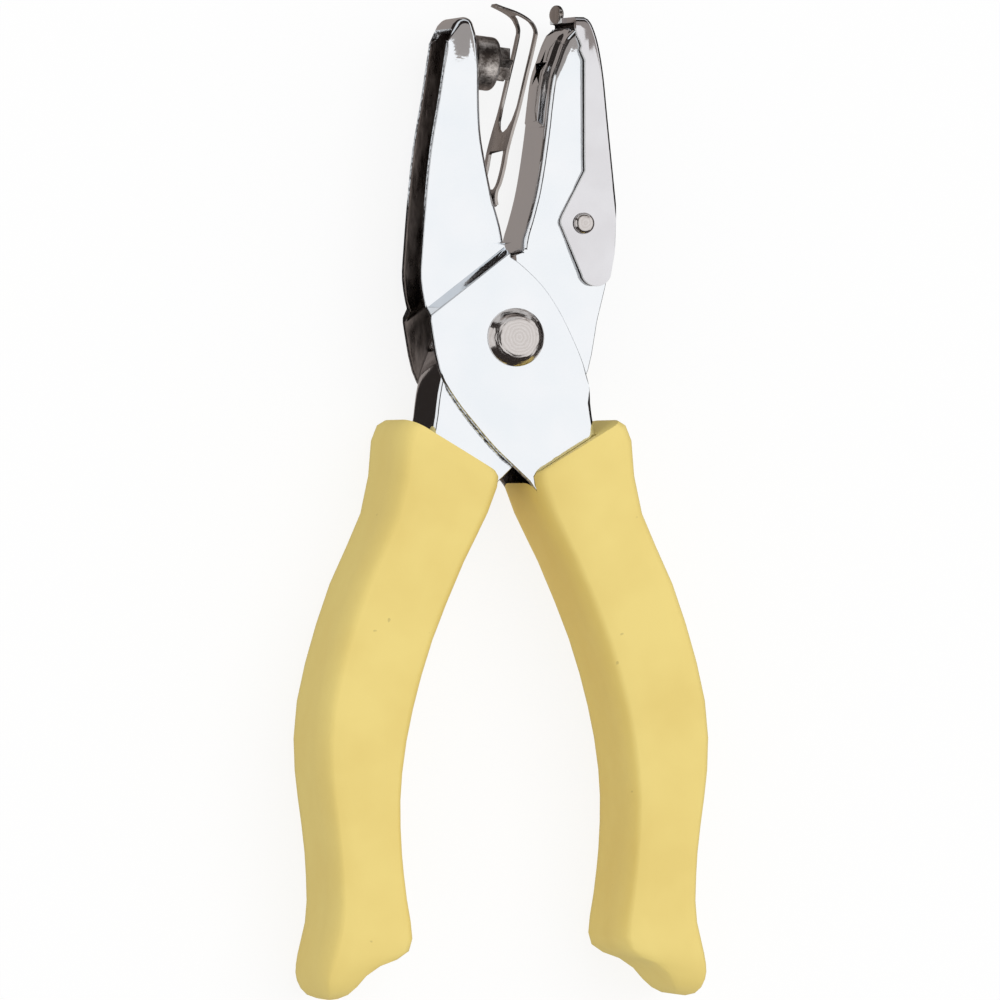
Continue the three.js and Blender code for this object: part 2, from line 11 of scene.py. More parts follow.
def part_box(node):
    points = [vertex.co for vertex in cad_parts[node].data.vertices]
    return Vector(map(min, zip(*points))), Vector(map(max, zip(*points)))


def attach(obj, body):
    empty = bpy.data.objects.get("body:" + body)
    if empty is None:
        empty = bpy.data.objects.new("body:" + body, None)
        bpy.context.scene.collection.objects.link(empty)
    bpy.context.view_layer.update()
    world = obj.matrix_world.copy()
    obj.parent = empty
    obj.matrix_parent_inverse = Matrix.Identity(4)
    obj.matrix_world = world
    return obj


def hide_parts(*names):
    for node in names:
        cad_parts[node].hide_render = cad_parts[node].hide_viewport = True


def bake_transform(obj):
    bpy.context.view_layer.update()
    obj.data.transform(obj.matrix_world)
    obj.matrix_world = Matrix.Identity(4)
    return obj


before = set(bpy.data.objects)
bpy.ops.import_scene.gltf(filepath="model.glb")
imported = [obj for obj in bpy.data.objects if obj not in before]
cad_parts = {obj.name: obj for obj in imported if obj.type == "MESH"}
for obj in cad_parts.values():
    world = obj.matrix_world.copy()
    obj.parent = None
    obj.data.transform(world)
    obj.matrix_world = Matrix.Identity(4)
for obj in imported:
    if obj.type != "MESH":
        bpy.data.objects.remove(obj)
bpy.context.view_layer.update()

MM = 0.001
rivet_low, rivet_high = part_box("pivot_rivet")
MIDDLE = (rivet_low.z + rivet_high.z) / 2 / MM
PIN_X, PIN_Y = [(a + b) / 2 / MM for a, b in zip(*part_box("catcher_pin"))][:2]

SHEET = 1.2
COVER_SHEET = 0.8
LEAF_SHEET = 0.45

# Half the width across the flanges, at each channel.
JAW_HALF = 5.3
DIE_HALF = 6.25
CHEEK_HALF = 7.75
COVER_HALF = 7.35

LEVER_BEND = 1.25
COVER_BEND = 0.85
LEVER_EDGE = 0.26
JOGGLE_RUN = 1.1
RIVET_HOLE = 2.9
PIN_HOLE = 1.45
STAR = 2.8
STAR_HOLE = 3.08

# The punch's height above the rivet, its lean with the tool open, and how far the jaws close.
PUNCH_LEVEL = 40.6
PUNCH_TILT = math.radians(-6.5)
CLOSING = math.radians(8.5)

WELD = 0.002
ALONG_Z = (0, 0, 1)

# ---------------------------------------------------------------- lines of the tool

# Each jaw's web, nose and back, the catcher's back, the cheeks about the rivet and the handles, seen
# from the front. The die lever takes its cheeks and its handle from the punch lever's, mirrored.
PUNCH_WEB = [(-5.25, 45.5), (-4.95, 43.5), (-4.7, 40), (-4.7, 36), (-4.5, 31), (-3.9, 27.1), (-2.6, 20.9),
             (-1.4, 16.6), (-0.8, 13.4)]
PUNCH_BACK = [(-9.1, 46.0), (-9.75, 44.2), (-10.2, 41.5), (-11.1, 35.7), (-12.4, 28.2), (-13.2, 20.7),
              (-13.8, 13.2), (-14.0, 8.7), (-13.3, 4.4)]
PUNCH_NOSE = [(-8.7, 46.9), (-8.0, 47.6), (-7.1, 47.9), (-6.2, 47.6), (-5.6, 46.8)]
DIE_WEB = [(8.6, 45.1), (7.9, 43.6), (7.2, 41.6), (6.3, 39), (5.7, 35), (5.3, 31.5), (4.9, 28.5),
           (4.3, 24.6), (3.6, 21), (2.6, 17.3), (1.9, 15), (1.6, 12.8)]
DIE_NOSE = [(11.3, 46.55), (10.3, 46.5), (9.4, 46.1)]
DIE_BACK = [(15, 20.2), (13.6, 32.7), (13.0, 38.7), (12.4, 42.6), (11.8, 45.1)]
COVER_BACK = [(11.6, 47.7), (12.2, 46.9), (12.9, 45.1), (13.5, 42.6), (14.1, 38.7), (14.7, 32.7),
              (16, 20.2)]
CHEEK_RIGHT = [(-0.8, 12.0), (0.9, 10.9), (4.2, 7.8), (6.7, 4.3), (8.7, 0.5), (10.6, -3.9),
               (11.8, -8.5)]
CHEEK_LEFT = [(-13.2, 2.4), (-11.8, -4.9), (-9.3, -9.3), (-6.3, -13), (-3.2, -16.5),
              (-0.2, -19.3), (2.2, -21.5)]
HANDLE_OUTER = [(11.8, -8.5), (12.5, -13.6), (14.2, -20), (18.4, -30), (23.4, -42), (26.8, -54),
                (27.3, -62), (26.3, -74), (25.8, -84)]
HANDLE_INNER = [(2.2, -21.5), (5.6, -26.5), (9.2, -32.5), (13.4, -42), (17.6, -54), (19.2, -62),
                (19.6, -74), (19.6, -84)]
JOGGLE = [(-13.3, 4.4), (-2.7, 12.6)]
LEAF_PATH = [(-2.15, 19.8), (-2.3, 20.8), (-2.15, 21.9), (-1.6, 23.2), (-1, 25.4), (-0.5, 28), (0.3, 30.9),
             (1.3, 34.2), (2.4, 38.7), (3.7, 44), (4, 46.2), (3.1, 47.8), (1.4, 48.9), (-1.2, 49.9)]


def smooth(line, steps=3):
    """A smooth line through the given points, as a French curve gives it."""
    made = []
    for i in range(len(line) - 1):
        a, b = Vector(line[i]), Vector(line[i + 1])
        before = Vector(line[max(i - 1, 0)])
        after = Vector(line[min(i + 2, len(line) - 1)])
        run_in, run_out = (b - before) / 2, (after - a) / 2
        for k in range(steps):
            t = k / steps
            made.append((2 * a - 2 * b + run_in + run_out) * t ** 3
                        + (-3 * a + 3 * b - 2 * run_in - run_out) * t ** 2 + run_in * t + a)
    made.append(Vector(line[-1]))
    return [tuple(p) for p in made]


def mirrored(line):
    """The same line on the other side of the tool."""
    return [(-x, y) for x, y in line]


# ---------------------------------------------------------------- modelling by hand

def put_down():
    """Leaves edit mode and lets go of everything."""
    if bpy.context.mode != "OBJECT":
        bpy.ops.object.mode_set(mode="OBJECT")
    bpy.ops.object.select_all(action="DESELECT")


def take(piece):
    """Makes this the one piece in hand."""
    put_down()
    piece.select_set(True)
    bpy.context.view_layer.objects.active = piece


def edit(piece, kind="VERT"):
    """Opens a piece with nothing of it selected."""
    take(piece)
    bpy.ops.object.mode_set(mode="EDIT")
    bpy.ops.mesh.select_mode(type=kind)
    bpy.ops.mesh.select_all(action="DESELECT")


def grab(piece):
    """Takes hold of the whole piece in edit mode."""
    edit(piece)
    bpy.ops.mesh.select_all(action="SELECT")


def just_made():
    """The piece that was added last, with its place and size worked into its mesh."""
    piece = bpy.context.object
    take(piece)
    bpy.ops.object.transform_apply(location=True, rotation=True, scale=True)
    return piece


def pick(piece, wanted, kind="FACE"):
    """In edit mode, selects the faces, edges or corners that wanted says yes to, by place in mm."""
    edit(piece, kind)
    bpy.ops.object.mode_set(mode="OBJECT")
    mesh = piece.data
    if kind == "FACE":
        for f in mesh.polygons:
            f.select = wanted(f.center / MM, f.normal)
    elif kind == "EDGE":
        for e in mesh.edges:
            a, b = (mesh.vertices[i].co / MM for i in e.vertices)
            e.select = wanted(a, b)
    else:
        for v in mesh.vertices:
            v.select = wanted(v.co / MM)
    bpy.ops.object.mode_set(mode="EDIT")


def traced(name, corners):
    """A wire traced from corner to corner, left selected in edit mode."""
    put_down()
    bpy.ops.mesh.primitive_plane_add(size=MM, location=Vector(corners[0]) * MM)
    piece = just_made()
    piece.name = piece.data.name = name
    grab(piece)
    bpy.ops.mesh.merge(type="CENTER")
    for a, b in zip(corners, corners[1:]):
        step = (Vector(b) - Vector(a)) * MM
        bpy.ops.mesh.extrude_vertices_move(TRANSFORM_OT_translate={"value": step})
    bpy.ops.mesh.select_all(action="SELECT")
    return piece


def blank(name, outline, low, high):
    """A blank traced on the bench and pulled up from low to high."""
    piece = traced(name, [(x, y, low) for x, y in outline])
    bpy.ops.mesh.edge_face_add()
    bpy.ops.mesh.select_all(action="SELECT")
    rise = (high - low) * MM
    bpy.ops.mesh.extrude_region_move(TRANSFORM_OT_translate={"value": (0, 0, rise)})
    bpy.ops.mesh.select_all(action="SELECT")
    bpy.ops.mesh.normals_make_consistent(inside=False)
    return piece


def turn(degrees, axis="Z", about=(0, 0, 0)):
    """Turns what is selected. Degrees count the usual way, seen from the axis's positive end."""
    bpy.ops.transform.rotate(value=-math.radians(degrees), orient_axis=axis, orient_type="GLOBAL",
                             center_override=Vector(about) * MM)


def shift(x, y, z):
    """Moves what is selected, in millimetres."""
    bpy.ops.transform.translate(value=Vector((x, y, z)) * MM)


def lay(piece, turns, x=0, y=0):
    """Turns a piece made at the origin, and carries it to x, y in the middle plane."""
    grab(piece)
    for degrees, axis in turns:
        turn(degrees, axis)
    shift(x, y, MIDDLE)
    put_down()


def near(point, places, reach=0.01):
    """Whether a point is at one of the places, seen from above."""
    return any(abs(point.x - x) < reach and abs(point.y - y) < reach for x, y in places)


def middles(line):
    """The middle of each step of a line, which is where its wall's face has its centre."""
    return [((a[0] + b[0]) / 2, (a[1] + b[1]) / 2) for a, b in zip(line, line[1:])]


def open_sides(piece, folded):
    """Leaves only the side walls that the press folded, and takes the rest of the rim away."""
    pick(piece, lambda c, n: abs(n.z) < 0.5 and not near(c, folded))
    bpy.ops.mesh.delete(type="FACE")


def round_bends(piece, folded, radius, segments=5):
    """Rounds the bends between the folded walls and the flat flanges."""
    def bend(a, b):
        return abs(a.z - b.z) < 0.01 and near((a + b) / 2, folded, 0.02)
    pick(piece, bend, "EDGE")
    bpy.ops.mesh.bevel(offset=radius * MM, offset_type="OFFSET", segments=segments, profile=0.5,
                       clamp_overlap=False)


def apply(piece, kind, **settings):
    """Adds a modifier and works it into the mesh."""
    take(piece)
    modifier = piece.modifiers.new(kind.title(), kind)
    for key, value in settings.items():
        setattr(modifier, key, value)
    bpy.ops.object.modifier_apply(modifier=modifier.name)


def thicken(piece, sheet):
    """Gives the pressed skin its sheet thickness, inward. The inside and the cut rim take the next
    finishes of the piece, where it has them."""
    apply(piece, "SOLIDIFY", thickness=sheet * MM, offset=-1, use_even_offset=False,
          material_offset=1, material_offset_rim=2)


def ease(piece, width=0.13, segments=2, angle=40):
    """Breaks the sharp edges."""
    apply(piece, "BEVEL", width=width * MM, segments=segments, limit_method="ANGLE",
          angle_limit=math.radians(angle), use_clamp_overlap=False, harden_normals=False)


def trim(piece, half):
    """Dresses off what stands proud of the flanges by more than the allowance."""
    allowance, slab = 0.02, 0.3
    for side in (1, -1):
        put_down()
        face = (MIDDLE + (half + allowance) * side) * MM
        bpy.ops.mesh.primitive_cube_add(size=slab, location=(0, 0, face + slab / 2 * side))
        cut(piece, just_made())


def cut(piece, cutter):
    """Takes the cutter's shape out of the piece."""
    apply(piece, "BOOLEAN", operation="DIFFERENCE", object=cutter, solver="MANIFOLD")
    bpy.data.objects.remove(cutter)


def drill(piece, x, y, radius):
    """Drills right through both flanges."""
    put_down()
    bpy.ops.mesh.primitive_cylinder_add(vertices=48, radius=radius * MM, depth=60 * MM,
                                        location=(x * MM, y * MM, MIDDLE * MM))
    cut(piece, just_made())


def shade(piece, angle=35):
    """Smooths what bends by less than the angle."""
    take(piece)
    bpy.ops.object.shade_smooth_by_angle(angle=math.radians(angle))


def joined(name, *pieces):
    """Joins pieces into one under a new name."""
    put_down()
    for piece in pieces:
        piece.select_set(True)
    bpy.context.view_layer.objects.active = pieces[0]
    bpy.ops.object.join()
    whole = bpy.context.object
    whole.name = whole.data.name = name
    return whole


def turned(name, profile, x=0, y=0, steps=64):
    """A piece turned on the lathe about an upright axis. The profile is radius and height."""
    piece = traced(name, [(x + r, y, z) for r, z in profile])
    bpy.ops.mesh.spin(steps=steps, angle=2 * math.pi, center=(x * MM, y * MM, 0), axis=ALONG_Z)
    bpy.ops.mesh.select_all(action="SELECT")
    bpy.ops.mesh.remove_doubles(threshold=WELD * MM)
    bpy.ops.mesh.normals_make_consistent(inside=False)
    put_down()
    return piece


def arc(cx, cy, radius_x, radius_y, start, end, steps=8):
    """Points round an ellipse, from one angle to another in degrees."""
    made = []
    for i in range(steps + 1):
        a = math.radians(start + (end - start) * i / steps)
        made.append((cx + radius_x * math.cos(a), cy + radius_y * math.sin(a)))
    return made


# ---------------------------------------------------------------- finishes

def colour(hex_code):
    """An sRGB hex colour as Blender's linear one."""
    parts = [int(hex_code[i:i + 2], 16) / 255 for i in (1, 3, 5)]
    return (*[c / 12.92 if c <= 0.04045 else ((c + 0.055) / 1.055) ** 2.4 for c in parts], 1)


def add(material, kind, links=None, values=None, **settings):
    """Adds a node, sets its own settings and socket values, and links its inputs."""
    tree = material.node_tree
    made = tree.nodes.new(kind)
    for key, value in settings.items():
        setattr(made, key, value)
    for key, value in (values or {}).items():
        made.inputs[key].default_value = value
    for key, source in (links or {}).items():
        tree.links.new(source, made.inputs[key])
    return made


def finish_of(name):
    material = bpy.data.materials.new(name)
    material.use_nodes = True
    material.node_tree.nodes.clear()
    return material


def own_space(material):
    return add(material, "ShaderNodeTexCoord").outputs["Object"]


def drawn_along(material, place, share):
    """Space with its Y scaled down to a share, which draws a noise out into streaks along Y."""
    return add(material, "ShaderNodeMapping", {"Vector": place}, {"Scale": (1, share, 1)}).outputs["Vector"]


def noise(material, place, size, detail, roughness=0.5):
    """A noise whose features are this many millimetres across."""
    return add(material, "ShaderNodeTexNoise", {"Vector": place},
               {"Scale": 1 / (size * MM), "Detail": detail, "Roughness": roughness}).outputs["Fac"]


def reckon(material, operation, links, values=None):
    return add(material, "ShaderNodeMath", links, values, operation=operation).outputs["Value"]


def spread(material, source, low, high, to_low=0, to_high=1):
    """Reads a noise between low and high and gives a value between the other two."""
    return add(material, "ShaderNodeMapRange", {"Value": source},
               {"From Min": low, "From Max": high, "To Min": to_low, "To Max": to_high}).outputs["Result"]


def mixed(material, share, first, second):
    return add(material, "ShaderNodeMix", {0: share}, {6: colour(first), 7: colour(second)},
               data_type="RGBA").outputs[2]


def relief(material, height, strength, depth):
    """Roughens the surface by a height that swings over this depth in millimetres."""
    return add(material, "ShaderNodeBump", {"Height": height},
               {"Strength": strength, "Distance": depth * MM}).outputs["Normal"]


def close_finish(material, links, values):
    skin = add(material, "ShaderNodeBsdfPrincipled", links, values)
    add(material, "ShaderNodeOutputMaterial", {"Surface": skin.outputs["BSDF"]})
    return material


def metal(material, tint, roughness, normal):
    """Closes a finish as metal. Its roughness is one number, or is read off a noise."""
    links, values = {"Base Color": tint, "Normal": normal}, {"Metallic": 1.0}
    (values if isinstance(roughness, float) else links)["Roughness"] = roughness
    return close_finish(material, links, values)


def chrome_plate():
    """Bright chromium plate on pressed sheet steel: a cold mirror that shows the sheet's slight
    ripples as broken lights wherever it bends."""
    m = finish_of("bright_chromium_plate")
    place = own_space(m)
    ripple, haze = noise(m, place, 2.2, 3, 0.6), noise(m, place, 9, 4)
    tint = mixed(m, spread(m, haze, 0.35, 0.65), "#F3F5F8", "#EEF2F6")
    return metal(m, tint, spread(m, haze, 0.3, 0.7, 0.04, 0.09), relief(m, ripple, 0.35, 0.06))


def drawn_plate():
    """Chromium plate where the press has stretched the sheet: the same colour, but dulled to a haze."""
    m = finish_of("drawn_chromium_plate")
    peel = noise(m, own_space(m), 0.8, 3)
    tint = mixed(m, spread(m, peel, 0.3, 0.7), "#F6F6F7", "#EDEDEF")
    return metal(m, tint, 0.5, relief(m, peel, 0.2, 0.04))


def sheared_edge_with_painted_shade():
    """The plated edge that the shears left: torn and speckled, bright and near-black by turns; the
    near-black specks are painted shade for the dark lines that shadow gaps and reflections draw along the
    rims.
    """
    m = finish_of("sheared_edge_painted_dark_lines")
    grit = noise(m, own_space(m), 0.55, 3, 0.7)
    # Painted shade: the near-black half of the speckle draws dark outline lines on the cut rims.
    tint = mixed(m, spread(m, grit, 0.42, 0.55), "#2B2726", "#E9EBEE")
    return metal(m, tint, 0.22, relief(m, grit, 0.7, 0.12))


def painted_shade_inside_plate():
    """The inside of the channels: brown-grey steel, dull and streaky, tinted darker as painted shade for the
    recess.
    """
    m = finish_of("channel_inside_painted_shade")
    streak = noise(m, drawn_along(m, own_space(m), 0.25), 1.8, 5, 0.65)
    # Painted shade: the dark brown-grey tints darken the channel insides, where the recess lies in shade.
    tint = mixed(m, spread(m, streak, 0.35, 0.7), "#4E4642", "#8B817C")
    return metal(m, tint, spread(m, streak, 0.3, 0.7, 0.2, 0.4), relief(m, streak, 0.5, 0.1))


def satin_plate():
    """Satin nickel on thin sheet: softer and a little darker than the levers, brushed along Y."""
    m = finish_of("satin_nickel_plate")
    place = own_space(m)
    brush, cloud = noise(m, drawn_along(m, place, 0.08), 0.3, 3), noise(m, place, 6, 3)
    tint = mixed(m, spread(m, cloud, 0.3, 0.7), "#E3E2E5", "#DBD9DC")
    return metal(m, tint, spread(m, brush, 0.3, 0.7, 0.06, 0.11), relief(m, brush, 0.12, 0.02))


def spring_steel(name):
    """Bare blued-grey spring strip, rolled smooth, with a warm grey cast."""
    m = finish_of(name)
    roll = noise(m, drawn_along(m, own_space(m), 0.1), 0.5, 3)
    tint = mixed(m, spread(m, roll, 0.3, 0.7), "#B9B2AD", "#A29A95")
    return metal(m, tint, spread(m, roll, 0.3, 0.7, 0.18, 0.3), relief(m, roll, 0.2, 0.02))


def hardened_steel():
    """Heat-treated tool steel with its dark scale left on: gunmetal, pitted and speckled."""
    m = finish_of("heat_treated_tool_steel")
    place = own_space(m)
    speck, cloud = noise(m, place, 0.5, 6, 0.75), noise(m, place, 2.5, 2)
    both = reckon(m, "MULTIPLY", {0: speck, 1: cloud})
    tint = mixed(m, spread(m, both, 0.17, 0.36), "#57504C", "#CFC8C3")
    return metal(m, tint, spread(m, speck, 0.3, 0.7, 0.26, 0.45), relief(m, speck, 0.6, 0.08))


def turned_nickel(name, x, y):
    """Dark nickel on a turned head: a soft mirror with the lathe's slightly uneven rings about x, y."""
    ring = 0.5
    m = finish_of(name)
    place = own_space(m)
    centred = add(m, "ShaderNodeMapping", {"Vector": place}, {"Location": (-x * MM, -y * MM, 0)})
    parts = add(m, "ShaderNodeSeparateXYZ", {"Vector": centred.outputs["Vector"]}).outputs
    flat = add(m, "ShaderNodeCombineXYZ", {"X": parts["X"], "Y": parts["Y"]})
    radius = add(m, "ShaderNodeVectorMath", {0: flat.outputs["Vector"]}, operation="LENGTH")
    swirl, speck = noise(m, place, 2, 2), noise(m, place, 0.7, 5, 0.7)
    uneven = reckon(m, "MULTIPLY_ADD", {0: swirl, 2: radius.outputs["Value"]}, {1: 0.9 * MM})
    wave = reckon(m, "SINE", {0: reckon(m, "MULTIPLY", {0: uneven}, {1: 2 * math.pi / (ring * MM)})})
    height = reckon(m, "MULTIPLY_ADD", {0: wave, 2: speck}, {1: 0.3})
    tint = mixed(m, spread(m, height, -0.1, 1.1), "#DAD5D3", "#C6BFBB")
    return metal(m, tint, spread(m, speck, 0.3, 0.7, 0.08, 0.18), relief(m, height, 0.3, 0.035))


def soft_vinyl():
    """Dip-moulded soft vinyl: matte, slightly cloudy yellow with a fine eggshell grain and a few
    specks of dust."""
    m = finish_of("moulded_soft_vinyl")
    place = own_space(m)
    grain, cloud, dust = noise(m, place, 0.35, 3), noise(m, place, 14, 3), noise(m, place, 1.6, 1)
    body = mixed(m, spread(m, cloud, 0.35, 0.65), "#EAD37C", "#E4CB74")
    specked = add(m, "ShaderNodeMix", {0: spread(m, dust, 0.8, 0.83, 0, 0.4), 6: body},
                  {7: colour("#A08E50")}, data_type="RGBA").outputs[2]
    links = {"Base Color": specked, "Roughness": spread(m, cloud, 0.3, 0.7, 0.5, 0.62),
             "Normal": relief(m, grain, 0.25, 0.03)}
    return close_finish(m, links, {"Specular IOR Level": 0.35})


CHROME = chrome_plate()
# Cut rims, with painted shade for their dark outline lines.
EDGE = sheared_edge_with_painted_shade()
# Channel insides, with painted shade in their colour.
INSIDE_PAINTED_SHADE = painted_shade_inside_plate()
DRAWN = drawn_plate()
SATIN = satin_plate()
SPRING = spring_steel("rolled_spring_steel")
TOOL = hardened_steel()
TAB = spring_steel("rolled_steel_tab")
RIVET = turned_nickel("turned_dark_nickel_rivet", 0, 0)
PIN = turned_nickel("turned_dark_nickel_pin", PIN_X, PIN_Y)
VINYL = soft_vinyl()


def finish_with(piece, *finishes):
    """Finishes by number, so that the sheet's inside and rim can be told from its outside."""
    for material in finishes:
        piece.data.materials.append(material)


def hand_over(piece, body, node):
    """The finished piece takes the place of its CAD node and moves with its body."""
    put_down()
    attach(piece, body)
    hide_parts(node)


# ---------------------------------------------------------------- levers

def step_out(piece, line, run, rise):
    """Creases a slope across the flanges along a line, and lifts what lies beyond it outward."""
    (x0, y0), (x1, y1) = line
    along = Vector((x1 - x0, y1 - y0)).normalized()
    across = Vector((along.y, -along.x))
    for offset in (0, run):
        grab(piece)
        bpy.ops.mesh.bisect(plane_co=((x0 + across.x * offset) * MM, (y0 + across.y * offset) * MM, 0),
                            plane_no=(across.x, across.y, 0))
    start = Vector((x0, y0))
    for side in (1, -1):
        def far_side(v):
            return ((Vector((v.x, v.y)) - start).dot(across) > run - 0.01
                    and (v.z - MIDDLE) * side > 0)
        pick(piece, far_side, "VERT")
        shift(0, 0, rise * side)


def pressed(name, outline, folded, half):
    """A channel of flanges and folded walls, still without thickness, this far to each side."""
    piece = blank(name, outline, MIDDLE - half, MIDDLE + half)
    open_sides(piece, folded)
    return piece


def punch_lever():
    """The lever of the left jaw and the right handle, stepped out to wider cheeks below the joggle."""
    web = smooth(PUNCH_NOSE)[:-1] + smooth(PUNCH_WEB)
    handle_web = smooth(HANDLE_OUTER)
    outline = (web + smooth(CHEEK_RIGHT)[:-1] + handle_web + smooth(HANDLE_INNER)[::-1][:-1]
               + smooth(CHEEK_LEFT)[::-1] + smooth(PUNCH_BACK[1:])[::-1] + [PUNCH_BACK[0]])
    folded = middles([PUNCH_BACK[0]] + web) + middles(handle_web)
    piece = pressed("punch_lever_pressing", outline, folded, JAW_HALF)
    step_out(piece, JOGGLE, JOGGLE_RUN, CHEEK_HALF - JAW_HALF)
    round_bends(piece, folded, LEVER_BEND)
    lever_finishes = [CHROME, INSIDE_PAINTED_SHADE, EDGE, DRAWN]
    finish_with(piece, *lever_finishes)
    for face in piece.data.polygons:
        sloping = 0.2 < abs(face.normal.z) < 0.7
        if sloping and abs(face.center.z / MM - MIDDLE) > JAW_HALF:
            face.material_index = lever_finishes.index(DRAWN)
    thicken(piece, SHEET)
    ease(piece, LEVER_EDGE, 3)
    trim(piece, CHEEK_HALF)
    drill(piece, 0, 0, RIVET_HOLE)
    shade(piece)
    hand_over(piece, "punch_side", "punch_lever")


def star(radius, waist=0.42):
    """A five-pointed star. The waist is its inner radius as a share of its outer one."""
    corners = []
    for i in range(10):
        reach = radius * waist if i % 2 else radius
        a = i * math.pi / 5
        corners.append((reach * math.sin(a), reach * math.cos(a)))
    return corners


def travel(angle):
    """The point of the punch's line of travel that is nearest to the rivet."""
    return -PUNCH_LEVEL * math.sin(angle), PUNCH_LEVEL * math.cos(angle)


def aim(piece, angle):
    """Lays a piece made upright about the Z axis down along X, and turns it onto the punch's line."""
    lay(piece, [(90, "Y"), (math.degrees(angle), "Z")], *travel(angle))


def die_lever():
    """The lever of the right jaw and the left handle, with the star hole that the punch enters."""
    web = smooth(DIE_NOSE)[:-1] + smooth(DIE_WEB)
    handle_web = smooth(mirrored([(9.8, -1.9), (11.0, -5)] + HANDLE_OUTER))
    outline = (web + [(0.2, 12.3)] + smooth(mirrored(CHEEK_RIGHT)[1:-2] + handle_web[:1])[:-1] + handle_web
               + smooth(mirrored(HANDLE_INNER))[::-1][:-1] + smooth(mirrored(CHEEK_LEFT))[::-1]
               + [(14.6, 8), (14.85, 14)] + smooth(DIE_BACK))
    folded = middles(web) + middles(handle_web)
    piece = pressed("die_lever_pressing", outline, folded, DIE_HALF)
    round_bends(piece, folded, LEVER_BEND)
    raise_land(piece)
    curl_foot(piece, web[-1], (0.35, -0.75), (0.85, -0.55), (1.0, -0.1))
    finish_with(piece, CHROME, INSIDE_PAINTED_SHADE, EDGE)
    thicken(piece, SHEET)
    ease(piece, LEVER_EDGE, 3)
    trim(piece, DIE_HALF)
    drill(piece, 0, 0, RIVET_HOLE)
    drill(piece, PIN_X, PIN_Y, PIN_HOLE)
    hole = blank("star_hole", star(STAR_HOLE), -10, 6)
    aim(hole, PUNCH_TILT - CLOSING)
    cut(piece, hole)
    shade(piece)
    hand_over(piece, "die_side", "die_lever")


def curl_foot(piece, foot, *steps):
    """Draws the foot of the jaw's wall on by these steps, and narrows it as it curls in."""
    def lip(a, b):
        upright = abs(a.z - b.z) > 0.2
        inside = max(abs(a.z - MIDDLE), abs(b.z - MIDDLE)) < DIE_HALF - 0.9
        return upright and inside and near((a + b) / 2, [foot], 0.05)
    pick(piece, lip, "EDGE")
    for x, y in steps:
        bpy.ops.mesh.extrude_region_move(TRANSFORM_OT_translate={"value": (x * MM, y * MM, 0)})
        bpy.ops.transform.resize(value=(1, 1, 0.94))


def raise_land(piece):
    """Presses the land around the die hole out toward the punch, over a rounded shoulder."""
    land_half, low, high = 4.5, 31.2, 46.3
    for z in (-land_half, land_half):
        grab(piece)
        bpy.ops.mesh.bisect(plane_co=(0, 0, (MIDDLE + z) * MM), plane_no=ALONG_Z)

    def land(c, n):
        faces_punch = abs(n.z) < 0.3 and n.x < -0.4
        return faces_punch and low < c.y < high and abs(c.z - MIDDLE) < land_half
    pick(piece, land)
    for depth in (0.12, 0.25, 0.25, 0.12):
        bpy.ops.mesh.inset(thickness=0.35 * MM, depth=depth * MM, use_even_offset=False)


# ---------------------------------------------------------------- punch, leaf, rivets and spring

def star_punch():
    """A round collar with a star on its face, and a neck staked through the web."""
    web_face, collar, rounding = -4.7, 4.05, 0.9
    root = (web_face - travel(PUNCH_TILT)[0]) / math.cos(PUNCH_TILT)
    front = root + 3.7
    rim = arc(collar - rounding, front - rounding, rounding, rounding, 0, 90, 6)
    body = turned("star_punch_collar", [(0, root + 0.05), (collar, root + 0.05)] + rim + [(0, front)])
    neck = turned("punch_neck", [(0, root - 2.4), (3.3, root - 2.4), (3.3, root - 1.5), (2.4, root - 1.5),
                                 (2.4, root + 0.6), (0, root + 0.6)], steps=40)
    point = blank("punch_star", star(STAR), front - 0.5, front + 2.2)
    put_down()
    piece = joined("star_punch_tool", body, neck, point)
    aim(piece, PUNCH_TILT)
    ease(piece, 0.1, 2, 50)
    shade(piece, 40)
    finish_with(piece, TOOL)
    hand_over(piece, "punch_side", "star_punch")


def front_cutter(name, outline):
    """A cutter with the given front outline, across Z and up Y, that runs right through along X."""
    tool = blank(name, outline, -30, 30)
    lay(tool, [(90, "Y")])
    return tool


def both_halves(half_outline):
    """A whole outline from its right half."""
    return half_outline + mirrored(half_outline)[::-1]


def stripper_leaf():
    """The bent leaf that pushes the sheet off the punch: two windows and a narrowed, hooked tip."""
    low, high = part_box("stripper_leaf")
    half = (high.z - low.z) / 2 / MM
    piece = blank_strip("stripper_leaf_spring", smooth(LEAF_PATH, 4), half)
    finish_with(piece, SPRING)
    top = LEAF_PATH[-1][1]
    window = [(0.9, 30.9), (2.3, 31.4), (3.5, 32.6), (4.15, 34.6), (4.15, top - 4.1), (3.2, top - 2.6),
              (1.6, top - 1.5)]
    root_window = [(3.3, 22.2), (3.7, 22.7), (3.7, 27.6), (3.3, 28)]
    cut(piece, front_cutter("leaf_window", both_halves(window)))
    cut(piece, front_cutter("leaf_root_window", both_halves(root_window)))
    outside = [(half + 3, top - 5.2), (half + 3, top + 3), (1.0, top + 3), (1.2, top - 0.3),
               (2.4, top - 1.1), (4.2, top - 2.6), (half - 0.1, top - 4.4)]
    for side in (1, -1):
        cut(piece, front_cutter("leaf_corner", [(z * side, y) for z, y in outside]))
    ease(piece, 0.06, 2, 50)
    shade(piece, 30)
    hand_over(piece, "stripper", "stripper_leaf")


def blank_strip(name, path, half):
    """A strip bent along a path, wide across Z."""
    piece = traced(name, [(x, y, MIDDLE - half) for x, y in path])
    bpy.ops.mesh.extrude_region_move(TRANSFORM_OT_translate={"value": (0, 0, 2 * half * MM)})
    put_down()
    apply(piece, "SOLIDIFY", thickness=LEAF_SHEET * MM, offset=0, use_even_offset=True)
    return piece


